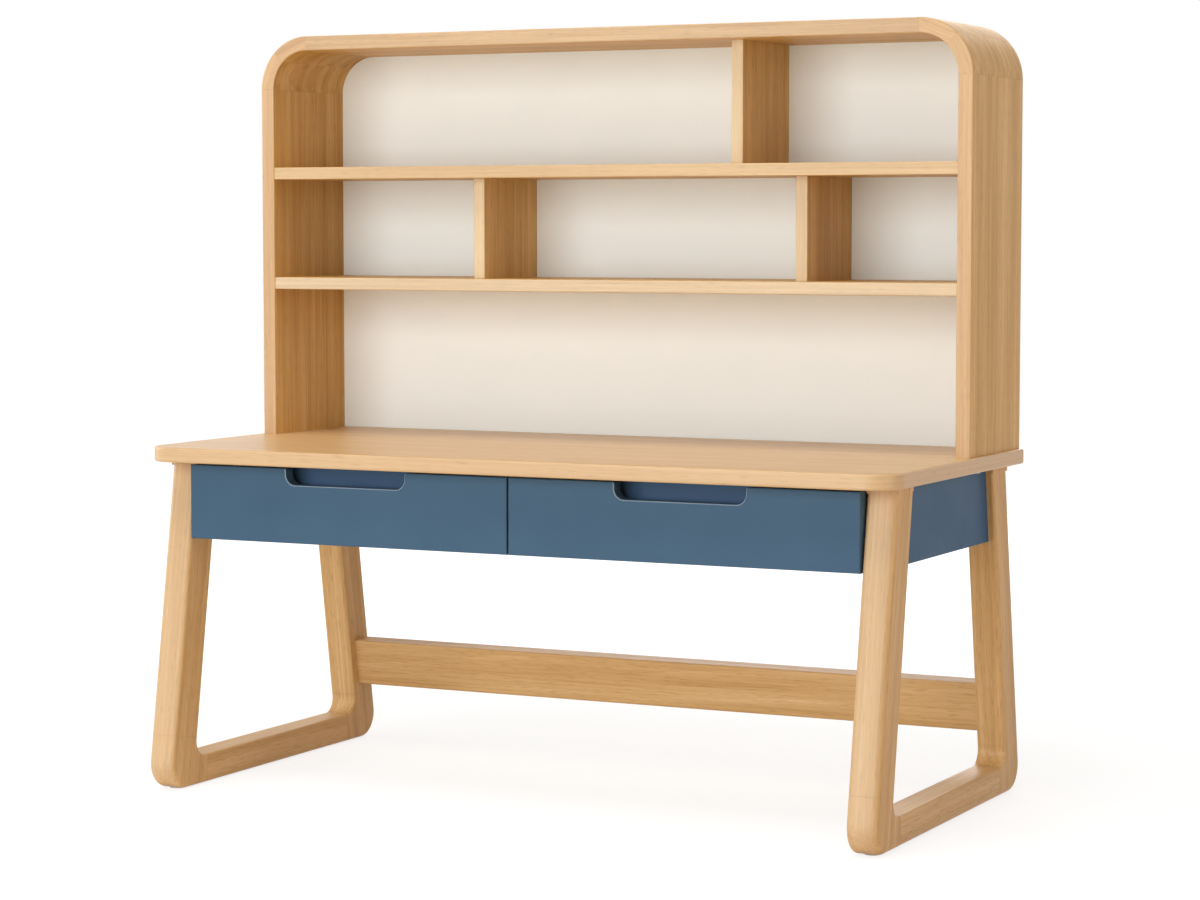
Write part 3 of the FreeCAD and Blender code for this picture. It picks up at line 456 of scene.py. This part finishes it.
@dataclass(frozen=True)
class Paint:
    """Sprayed paint on smooth board.

    Spraying leaves a faint orange peel and slow drifts of tone. The lighter line on the arrises is a
    painted highlight, and so is the lighter line round a finger pull's rim.
    """

    name: str
    body: str
    drift: str
    # Colour of the painted highlight on every arris
    thin: str
    # Colour of the painted highlight on the finger pull's rim
    pull_rim_highlight: str
    peel: float = 2.6 * MM
    drift_size: float = 140.0 * MM
    roughness: Span = (0.40, 0.50)
    bump: float = 0.12
    bump_depth: float = 0.15 * MM
    specular: float = 0.13
    arris_radius: float = 1.6 * MM
    arris_share: float = 0.8

    def material(self, piece: str, rim: Optional[PullRim] = None) -> bpy.types.Material:
        """Make the paint's material for one piece or kind of piece.

        Args:
            piece: Name of what is painted.
            rim: Finger pull that is cut in it, where it has one.

        Returns:
            The finished material.
        """
        name = f"{self.name}_{piece}"
        tree, output = blank_material(name)
        coordinates = add(tree, "ShaderNodeTexCoord")
        place = coordinates.outputs["Object"]
        slow = add(tree, "ShaderNodeTexNoise", None,
                   {"Scale": 1 / self.drift_size, "Detail": 3.0, "Roughness": 0.55}, {"Vector": place})
        fine = add(tree, "ShaderNodeTexNoise", None, {"Scale": 1 / self.peel, "Detail": 1.0}, {"Vector": place})
        ramp = add(tree, "ShaderNodeValToRGB", None, None, {"Fac": slow.outputs["Fac"]},
                   list(zip(NOISE_SPAN, (linear(self.drift), linear(self.body)))))
        # Painted highlight: a lighter line laid on every arris
        soft_normal, edge = edge_wear_and_highlight(tree, self.arris_radius)
        colour = laid_over(tree, ramp.outputs["Color"], edge, self.arris_share, self.thin)
        # Painted highlight on the finger pull's rim
        if rim is not None:
            colour = add(tree, "ShaderNodeMix", {"data_type": "RGBA"}, {7: linear(self.pull_rim_highlight)},
                         {0: rim.mask(tree, coordinates), 6: colour}).outputs[2]
        rough = add(tree, "ShaderNodeMapRange", None,
                    {"From Min": NOISE_SPAN[0], "From Max": NOISE_SPAN[1],
                     "To Min": self.roughness[0], "To Max": self.roughness[1]}, {"Value": slow.outputs["Fac"]})
        bump = add(tree, "ShaderNodeBump", None, {"Strength": self.bump, "Distance": self.bump_depth},
                   {"Height": fine.outputs["Fac"], "Normal": soft_normal})
        shader = add(tree, "ShaderNodeBsdfPrincipled", None,
                     {"IOR": LACQUER_IOR, "Specular IOR Level": self.specular},
                     {"Base Color": colour, "Roughness": rough.outputs["Result"],
                      "Normal": bump.outputs["Normal"]})
        tree.links.new(shader.outputs["BSDF"], output.inputs["Surface"])
        return bpy.data.materials[name]


@dataclass(frozen=True)
class Steel:
    """Cold-rolled strip with bright zinc plating.

    Rolling leaves fine lines along Y, drawn coarser than real ones so that they show, and the
    passivated zinc is slightly cloudy.
    """

    name: str = "zinc_plated_steel"
    bright: str = "#C6C9CC"
    dull: str = "#B6BABE"
    line_width: float = 0.8 * MM
    line_length: float = 60.0 * MM
    cloud: float = 18.0 * MM
    cloud_stops: Span = (0.35, 0.65)
    roughness: Span = (0.28, 0.42)
    bump: float = 0.15
    bump_depth: float = 0.05 * MM

    def material(self) -> bpy.types.Material:
        """Make the plated steel's material.

        Returns:
            The finished material.
        """
        tree, output = blank_material(self.name)
        place = add(tree, "ShaderNodeTexCoord").outputs["Object"]
        scale = (1 / self.line_width, 1 / self.line_length, 1 / self.line_width)
        rolled = add(tree, "ShaderNodeVectorMath", {"operation": "MULTIPLY"}, {1: scale}, {0: place})
        lines = add(tree, "ShaderNodeTexNoise", None, {"Scale": 1.0, "Detail": 2.0},
                    {"Vector": rolled.outputs["Vector"]})
        clouds = add(tree, "ShaderNodeTexNoise", None, {"Scale": 1 / self.cloud, "Detail": 3.0}, {"Vector": place})
        colour = add(tree, "ShaderNodeValToRGB", None, None, {"Fac": clouds.outputs["Fac"]},
                     list(zip(self.cloud_stops, (linear(self.dull), linear(self.bright)))))
        rough = add(tree, "ShaderNodeMapRange", None,
                    {"From Min": NOISE_SPAN[0], "From Max": NOISE_SPAN[1],
                     "To Min": self.roughness[0], "To Max": self.roughness[1]}, {"Value": lines.outputs["Fac"]})
        bump = add(tree, "ShaderNodeBump", None, {"Strength": self.bump, "Distance": self.bump_depth},
                   {"Height": lines.outputs["Fac"]})
        shader = add(tree, "ShaderNodeBsdfPrincipled", None, {"Metallic": 1.0},
                     {"Base Color": colour.outputs["Color"], "Roughness": rough.outputs["Result"],
                      "Normal": bump.outputs["Normal"]})
        tree.links.new(shader.outputs["BSDF"], output.inputs["Surface"])
        return bpy.data.materials[self.name]


@dataclass(frozen=True)
class Nylon:
    """Moulded nylon with a slight yellow cast.

    The spark-eroded mould leaves a fine grain, drawn coarser than the real one so that it shows.
    """

    name: str = "moulded_nylon"
    pale: str = "#E4DFD3"
    deep: str = "#D3CCBC"
    grit: float = 1.2 * MM
    roughness: Span = (0.45, 0.6)
    bump: float = 0.2
    bump_depth: float = 0.08 * MM
    ior: float = 1.53

    def material(self) -> bpy.types.Material:
        """Make the nylon's material.

        Returns:
            The finished material.
        """
        tree, output = blank_material(self.name)
        place = add(tree, "ShaderNodeTexCoord").outputs["Object"]
        grit = add(tree, "ShaderNodeTexNoise", None, {"Scale": 1 / self.grit, "Detail": 2.0}, {"Vector": place})
        colour = add(tree, "ShaderNodeValToRGB", None, None, {"Fac": grit.outputs["Fac"]},
                     list(zip(NOISE_SPAN, (linear(self.deep), linear(self.pale)))))
        rough = add(tree, "ShaderNodeMapRange", None,
                    {"To Min": self.roughness[0], "To Max": self.roughness[1]}, {"Value": grit.outputs["Fac"]})
        bump = add(tree, "ShaderNodeBump", None, {"Strength": self.bump, "Distance": self.bump_depth},
                   {"Height": grit.outputs["Fac"]})
        shader = add(tree, "ShaderNodeBsdfPrincipled", None, {"IOR": self.ior},
                     {"Base Color": colour.outputs["Color"], "Roughness": rough.outputs["Result"],
                      "Normal": bump.outputs["Normal"]})
        tree.links.new(shader.outputs["BSDF"], output.inputs["Surface"])
        return bpy.data.materials[self.name]


# Oak from several planks: the desk's own, the hutch's and the desktop's, and two darker, more saturated copies of
# the hutch's that paint shade, on its inner boards and on its left side
OAK = Wood("lacquered_oak", pale="#E4C092", middle="#D0A873", deep="#BA8D56", pore="#966A3A")
HUTCH_OAK = replace(OAK, pale="#E4BF88", middle="#D0A768", deep="#BA8C4B", streak_share=1.0, band_share=0.9)
SHADED_INNER_OAK = replace(HUTCH_OAK, pale="#E4BC7E", middle="#D0A45E", deep="#BA8941")
SHADED_LEFT_OAK = replace(HUTCH_OAK, pale="#DEB475", middle="#CA9C55", deep="#B48138")
DESKTOP_OAK = replace(OAK, name="satin_lacquered_oak", ring_share=0.08, streak_share=0.55, band_share=0.45,
                      coat=0.3, roughness=(0.34, 0.44))
# Woods of the drawer boxes, rails and dowels
BIRCH = Wood("lacquered_birch", pale="#E9D3AE", middle="#E0C699", deep="#D2B27F", pore="#BC9760",
             ring_spacing=7.0 * MM, ring_share=0.25, streak_share=0.4, coat=0.05)
BEECH = Wood("plain_beech", pale="#E2BE94", middle="#D8AF82", deep="#C99C6D", pore="#AF7F50", coat=0.0)
# Paints of the drawer fronts, the boards behind their pulls, the side aprons and the back panel
SLATE_BLUE = Paint("slate_blue_satin_paint", body="#435F78", drift="#3F5B74", thin="#7A96B0", pull_rim_highlight="#9FB6CC")
# A lighter, bluer copy of the fronts' paint for the boards behind the pulls: painted light in the pull's shaded
# recess
BACKING_BLUE_PAINTED_LIGHT = replace(SLATE_BLUE, name="bright_slate_blue_paint", body="#4B688A", drift="#476486")
APRON_BLUE = replace(SLATE_BLUE, name="deep_slate_blue_paint", body="#3B5C80", drift="#38597C")
CREAM = Paint("cream_matt_paint", body="#F8FDFB", drift="#F5FAF8", thin="#FAFDFA", pull_rim_highlight="#FAFDFA",
              peel=1.8 * MM, roughness=(0.55, 0.65), bump=0.08, arris_share=0.3)


class Finishes:
    """The finishes shared by several pieces, made once."""

    def __init__(self) -> None:
        """Make the paint, steel and nylon materials."""
        self.apron_blue = APRON_BLUE.material("aprons")
        self.backing_blue_painted_light = BACKING_BLUE_PAINTED_LIGHT.material("backings")
        self.cream = CREAM.material("panel")
        self.steel = Steel().material()
        self.nylon = Nylon().material()


def dress(node: str, material: bpy.types.Material) -> None:
    """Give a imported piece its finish.

    Args:
        node: Name of the piece.
        material: Finish for all of its slots.
    """
    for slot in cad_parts[node].material_slots:
        slot.material = material
    LOG.info("%s: %s", node, material.name)


@dataclass
class Hutch:
    """Arched hutch: sides, top and corner blocks round a painted back panel, with shelves and dividers."""

    finishes: Finishes
    corner_turn: float = 45.0
    front: tuple[Triple, ...] = ((0.0, 1.0, 0.0),)
    # Washes on the boards' front faces, each toned to how the light falls there: the sides' are an edge strip of
    # another tone and also painted light and shade, the top's is painted shade, the dividers' painted light, and
    # each shelf's painted light and shade
    right_edge_strip_and_light: str = "#BCA6A2"
    left_edge_strip_and_light: str = "#CABCBA"
    top_painted_shade: str = "#A0A1B1"
    divider_painted_light: str = "#E1E6E0"
    shelves: tuple[tuple[str, str], ...] = (("lower_shelf", "#E2EAEA"), ("upper_shelf", "#CAC6C2"))
    dividers: tuple[str, ...] = ("middle_divider_left", "middle_divider_right", "top_divider")

    def seam(self, side: str, step: int) -> Seam:
        """Find one of a corner's three glue lines.

        Args:
            side: Left or right.
            step: 0 at the side board, 1 between the corner blocks, 2 at the top board.

        Returns:
            The seam's plane, which holds the corner's centre line.
        """
        sign = 1.0 if side == "right" else -1.0
        centre_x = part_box("hutch_top")[1].x
        centre_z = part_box("hutch_side_right")[1].z
        angle = math.radians(self.corner_turn * step)
        return Seam((sign * centre_x, 0.0, centre_z), (-sign * math.sin(angle), 0.0, math.cos(angle)))

    def dress_frame(self) -> None:
        """Dress the sides, corner blocks and top board."""
        top_seams = []
        grains = {
            "right": (Grain.CORNER_LOW_RIGHT, Grain.CORNER_HIGH_RIGHT),
            "left": (Grain.CORNER_LOW_LEFT, Grain.CORNER_HIGH_LEFT)}
        # The left side's boards take a darker, more saturated copy of the oak: painted shade for a side that faces
        # into the hutch
        woods = {"right": (HUTCH_OAK, self.right_edge_strip_and_light), "left": (SHADED_LEFT_OAK, self.left_edge_strip_and_light)}
        for side in SIDES:
            seams = [self.seam(side, step) for step in range(3)]
            low, high = grains[side]
            wood, wash = woods[side]
            boards = (("hutch_side", Grain.ALONG_Z, seams[:1]), ("hutch_corner_lower", low, seams[:2]),
                      ("hutch_corner_upper", high, seams[1:]))
            for board, grain, lines in boards:
                name = f"{board}_{side}"
                dress(name, wood.material(name, grain, lines, LippingAndLight(self.front, grain, wash)))
            top_seams.append(seams[2])
        # The top board takes a darker, more saturated copy of the oak, painted shade inside the hutch, and the
        # wash on its front face is painted shade too
        edge = LippingAndLight(self.front, Grain.ALONG_X, self.top_painted_shade)
        dress("hutch_top", SHADED_INNER_OAK.material("hutch_top", Grain.ALONG_X, top_seams, edge))

    def dress_inside(self) -> None:
        """Dress the shelves, dividers, back panel and fixings."""
        # Shelves and dividers take the same darker copy of the oak, painted shade inside the hutch, and the washes
        # on their front faces are painted light and shade
        for shelf, wash in self.shelves:
            edge = LippingAndLight(self.front, Grain.ALONG_X, wash)
            dress(shelf, SHADED_INNER_OAK.material(shelf, Grain.ALONG_X, (), edge))
        for divider in self.dividers:
            edge = LippingAndLight(self.front, Grain.ALONG_Z, self.divider_painted_light)
            dress(divider, SHADED_INNER_OAK.material(divider, Grain.ALONG_Z, (), edge))
        dress("hutch_back_panel", self.finishes.cream)
        dress("back_panel_screws", self.finishes.steel)
        dress("hutch_screws", self.finishes.steel)
        for dowels in ("hutch_corner_dowels", "shelving_dowels"):
            dress(dowels, BEECH.material(dowels, Grain.ALONG_Z))

    def build(self) -> None:
        """Dress the whole hutch."""
        self.dress_frame()
        self.dress_inside()


# Painted light on the faces of a board with rounded edges that turn to the lamps, blended over the rounding
LIT_FACE_WASH = LippingAndLight((), turn=math.radians(42.0), blend=math.radians(24.0))


@dataclass
class LegFrame:
    """One side's splayed legs, foot blocks and runner."""

    side: str
    splay: float = math.radians(LEG_SPLAY)
    leg_seam_height: float = 87.5 * MM
    leg_seam_reach: float = 269.5 * MM
    # Painted light: the front legs' front faces paled and cooled as the front lamp lights them, and the runners'
    # tops lightened as light falls on them
    painted_front_light: LippingAndLight = replace(LIT_FACE_WASH, facings=((0.0, 1.0, 0.0),), wash="#C4B2A0")
    painted_runner_top_light: LippingAndLight = replace(LIT_FACE_WASH, facings=((0.0, 0.0, 1.0),), wash="#F1CA8C")

    def leg_seam(self, front: bool) -> Seam:
        """Find the glue line between a leg and its foot block, square to the leg.

        Args:
            front: Whether it is the front leg.

        Returns:
            The seam's plane.
        """
        sign = -1.0 if front else 1.0
        point = (0.0, sign * self.leg_seam_reach, self.leg_seam_height)
        return Seam(point, (0.0, -sign * math.sin(self.splay), math.cos(self.splay)))

    def runner_seam(self, front: bool) -> Seam:
        """Find the upright glue line between a foot block and the runner.

        Args:
            front: Whether it is the front foot.

        Returns:
            The seam's plane.
        """
        low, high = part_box(f"foot_runner_{self.side}")
        return Seam((0.0, low.y if front else high.y, 0.0), (0.0, 1.0, 0.0))

    def build(self) -> None:
        """Dress both legs, both foot blocks and the runner."""
        for end, front, grain in (("front", True, Grain.FRONT_LEG), ("rear", False, Grain.REAR_LEG)):
            leg = f"{end}_leg_{self.side}"
            foot = f"{end}_foot_block_{self.side}"
            painted_light_face = self.painted_front_light if front else None
            foot_seams = [self.leg_seam(front), self.runner_seam(front)]
            dress(leg, OAK.material(leg, grain, [self.leg_seam(front)], painted_light_face))
            dress(foot, OAK.material(foot, grain, foot_seams, painted_light_face, plank=leg))
        runner = f"foot_runner_{self.side}"
        runner_seams = [self.runner_seam(True), self.runner_seam(False)]
        dress(runner, OAK.material(runner, Grain.ALONG_Y, runner_seams, self.painted_runner_top_light))


@dataclass
class DeskFrame:
    """Desktop, stretcher, aprons, partition and what fixes them."""

    finishes: Finishes

    def build(self) -> None:
        """Dress the desktop, the rails between the leg frames and the fixings."""
        edges = LippingAndLight(((1.0, 0.0, 0.0), (0.0, 1.0, 0.0)), Grain.AROUND_Z)
        dress("desktop", DESKTOP_OAK.material("desktop", Grain.ALONG_X, (), edges))
        dress("stretcher", OAK.material("stretcher", Grain.ALONG_X))
        dress("rear_apron", BIRCH.material("rear_apron", Grain.ALONG_X))
        dress("centre_partition", BIRCH.material("centre_partition", Grain.ALONG_Y))
        dress("frame_dowels", BEECH.material("frame_dowels", Grain.ALONG_Z))
        for side in SIDES:
            dress(f"side_apron_{side}", self.finishes.apron_blue)
            dress(f"slide_batten_{side}", BIRCH.material(f"slide_batten_{side}", Grain.ALONG_Y))
            dress(f"{side}_slide_outer_members", self.finishes.steel)
        dress("desktop_brackets", self.finishes.steel)
        dress("frame_screws", self.finishes.steel)
        dress("floor_glides", self.finishes.nylon)


@dataclass
class Drawer:
    """One drawer: painted front, pull backing, box and the slide members that travel with it."""

    side: str
    finishes: Finishes
    boards: tuple[tuple[str, Grain], ...] = (
        ("drawer_side_inner", Grain.ALONG_Y), ("drawer_side_outer", Grain.ALONG_Y),
        ("drawer_back", Grain.ALONG_X), ("drawer_bottom", Grain.ALONG_X))
    pull_width: float = 236.0 * MM
    pull_depth: float = 29.0 * MM
    rim_margin: float = 3.0 * MM

    def rim(self, front: str) -> PullRim:
        """Find the room that holds the finger pull's arris, at the middle of the front's top edge.

        Args:
            front: Name of the drawer front.

        Returns:
            The pull's rim.
        """
        low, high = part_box(front)
        half_x = self.pull_width / 2 + self.rim_margin
        half_z = self.pull_depth / 2 + self.rim_margin
        centre = ((low.x + high.x) / 2, low.y, high.z - self.pull_depth / 2)
        return PullRim(centre, (half_x, 1.0, half_z))

    def build(self) -> None:
        """Dress the drawer."""
        front = f"{self.side}_drawer_front"
        dress(front, SLATE_BLUE.material(front, self.rim(front)))
        dress(f"{self.side}_pull_backing", self.finishes.backing_blue_painted_light)
        for board, grain in self.boards:
            name = f"{self.side}_{board}"
            dress(name, BIRCH.material(name, grain))
        for metal in ("slide_inner_members", "slide_middle_members", "drawer_slide_screws"):
            dress(f"{self.side}_{metal}", self.finishes.steel)


@dataclass
class SoftLamp:
    """Rectangular soft box, aimed at a point of the desk."""

    name: str
    place: Triple
    target: Triple
    size: tuple[float, float]
    watts: float
    colour: str = "#FFFFFF"

    def build(self) -> None:
        """Hang the lamp and turn its face, which looks down its own -Z axis, to the target."""
        data = bpy.data.lights.new(self.name, "AREA")
        data.shape = "RECTANGLE"
        data.size, data.size_y = self.size
        data.energy = self.watts
        data.color = linear(self.colour)[:3]
        lamp = bpy.data.objects.new(self.name, data)
        aim = np.array(self.target) - np.array(self.place)
        dip = math.atan2(-aim[2], math.hypot(aim[0], aim[1]))
        lamp.location = self.place
        lamp.rotation_euler = (math.pi / 2 - dip, 0.0, -math.atan2(aim[0], aim[1]))
        bpy.context.scene.collection.objects.link(lamp)
        LOG.info("%s: %.0f W", self.name, self.watts)


@dataclass
class Studio:
    """Pale floor, white surroundings and soft boxes.

    A cool key stands in front and a warm one to the right, with fill round the rest.
    """

    floor_half: float = 9.0
    floor_points: int = 25
    near_glow: float = 0.8
    far_glow: float = 1.0
    near_reach: float = 0.9
    far_reach: float = 3.0
    floor_shade: float = 0.3
    paper_colour: str = "#EFE3D0"
    fill_colour: str = "#FFE5C6"
    fill_strength: float = 0.2
    lamps: tuple[SoftLamp, ...] = (
        SoftLamp("front_lamp", (-0.6, -5.3, 1.5), (0.0, 0.0, 0.65), (4.8, 2.9), 204.0, "#F3FAFF"),
        SoftLamp("top_lamp", (-0.2, -1.4, 5.0), (0.0, 0.0, 0.6), (3.4, 2.4), 130.0),
        SoftLamp("right_lamp", (4.6, -0.6, 1.5), (0.0, 0.0, 0.75), (2.4, 2.4), 44.0, "#FFF4E8"),
        SoftLamp("left_lamp", (-4.8, -0.4, 1.7), (0.0, 0.0, 0.75), (2.4, 2.4), 62.0),
        SoftLamp("back_lamp", (-1.3, 5.3, 1.9), (0.0, 0.0, 0.7), (3.6, 2.6), 95.0))

    def floor(self) -> None:
        """Lay the floor: a flat grid of points, x and y evenly spaced from edge to edge, z nought."""
        span = np.linspace(-self.floor_half, self.floor_half, self.floor_points)
        x, y = np.meshgrid(span, span)
        points = np.stack([x.ravel(), y.ravel(), np.zeros(x.size)], axis=1)
        count = self.floor_points
        corner = (np.arange(count - 1)[:, None] * count + np.arange(count - 1)[None, :]).ravel()
        faces = np.stack([corner, corner + 1, corner + count + 1, corner + count], axis=1)
        mesh = bpy.data.meshes.new("studio_floor")
        mesh.from_pydata(points.tolist(), [], faces.tolist())
        mesh.update()
        piece = bpy.data.objects.new("studio_floor", mesh)
        bpy.context.scene.collection.objects.link(piece)
        mesh.materials.append(self.floor_material())
        LOG.info("studio_floor: %d faces", len(mesh.polygons))

    def floor_material(self) -> bpy.types.Material:
        """Make the floor's white paper.

        The camera sees the paper's own glow, which rises from near to far with the distance from the desk,
        plus a share of the lamps' light, so that the shadow stays on it. Other rays meet plain paper.

        Returns:
            The finished material.
        """
        tree, output = blank_material("white_paper_floor")
        place = add(tree, "ShaderNodeTexCoord").outputs["Object"]
        reach = add(tree, "ShaderNodeVectorMath", {"operation": "LENGTH"}, None, {0: place})
        glow = add(tree, "ShaderNodeMapRange", {"interpolation_type": "SMOOTHSTEP"},
                   {"From Min": self.near_reach, "From Max": self.far_reach, "To Min": self.near_glow,
                    "To Max": self.far_glow}, {"Value": reach.outputs["Value"]})
        white = add(tree, "ShaderNodeEmission", None, {"Color": WHITE}, {"Strength": glow.outputs["Result"]})
        shade = add(tree, "ShaderNodeBsdfDiffuse", None, {"Color": (*[self.floor_shade] * 3, 1.0)})
        shown = add(tree, "ShaderNodeAddShader", None, None,
                    {0: white.outputs["Emission"], 1: shade.outputs["BSDF"]})
        paper = add(tree, "ShaderNodeBsdfDiffuse", None, {"Color": linear(self.paper_colour)})
        both = add(tree, "ShaderNodeMixShader", None, None,
                   {0: seen_rays(tree), 1: paper.outputs["BSDF"], 2: shown.outputs["Shader"]})
        tree.links.new(both.outputs["Shader"], output.inputs["Surface"])
        return bpy.data.materials["white_paper_floor"]

    def surroundings(self) -> None:
        """Fill from all round, and show plain white to the camera, in reflections and through glass."""
        world = bpy.data.worlds.new("white_studio")
        world.use_nodes = True
        tree = world.node_tree
        tree.nodes.clear()
        white = add(tree, "ShaderNodeBackground", None, {"Color": WHITE, "Strength": 1.0})
        fill = add(tree, "ShaderNodeBackground", None,
                   {"Color": linear(self.fill_colour), "Strength": self.fill_strength})
        both = add(tree, "ShaderNodeMixShader", None, None,
                   {0: seen_rays(tree), 1: fill.outputs["Background"], 2: white.outputs["Background"]})
        add(tree, "ShaderNodeOutputWorld", None, None, {"Surface": both.outputs["Shader"]})
        bpy.context.scene.world = world
        LOG.info("white_studio: fill %.2f", self.fill_strength)

    def build(self) -> None:
        """Set up the floor, the surroundings, the lamps and the plain view transform."""
        self.floor()
        self.surroundings()
        for lamp in self.lamps:
            lamp.build()
        bpy.context.scene.view_settings.view_transform = "Standard"


@dataclass
class PhotoCamera:
    """Long lens in front of the desk's right-hand corner, tipped slightly down, as in the photograph.

    The heading and dip are in radians, and the focal length and sensor in millimetres.
    """

    place: Triple = (2.4054, -4.8013, 0.9943)
    heading: float = 0.4594
    dip: float = 0.0733
    focal_length: float = 92.377
    sensor: float = 36.0
    reach: float = 100.0

    def build(self) -> None:
        """Place the camera and make it the scene's own."""
        data = bpy.data.cameras.new("photo_camera")
        data.sensor_fit = "HORIZONTAL"
        data.sensor_width = self.sensor
        data.lens = self.focal_length
        data.clip_end = self.reach
        camera = bpy.data.objects.new("photo_camera", data)
        camera.location = self.place
        camera.rotation_euler = (math.pi / 2 - self.dip, 0.0, self.heading)
        bpy.context.scene.collection.objects.link(camera)
        bpy.context.scene.camera = camera
        LOG.info("photo_camera: %.1f mm", self.focal_length)


def main() -> None:
    """Dress every sub-assembly, then set up the studio and the camera."""
    logging.basicConfig(level=logging.INFO, format="%(message)s")
    finishes = Finishes()
    assemblies = [DeskFrame(finishes), Hutch(finishes)]
    assemblies += [LegFrame(side) for side in SIDES]
    assemblies += [Drawer(side, finishes) for side in SIDES]
    assemblies += [Studio(), PhotoCamera()]
    for assembly in assemblies:
        assembly.build()


if __name__ == "__main__":
    main()
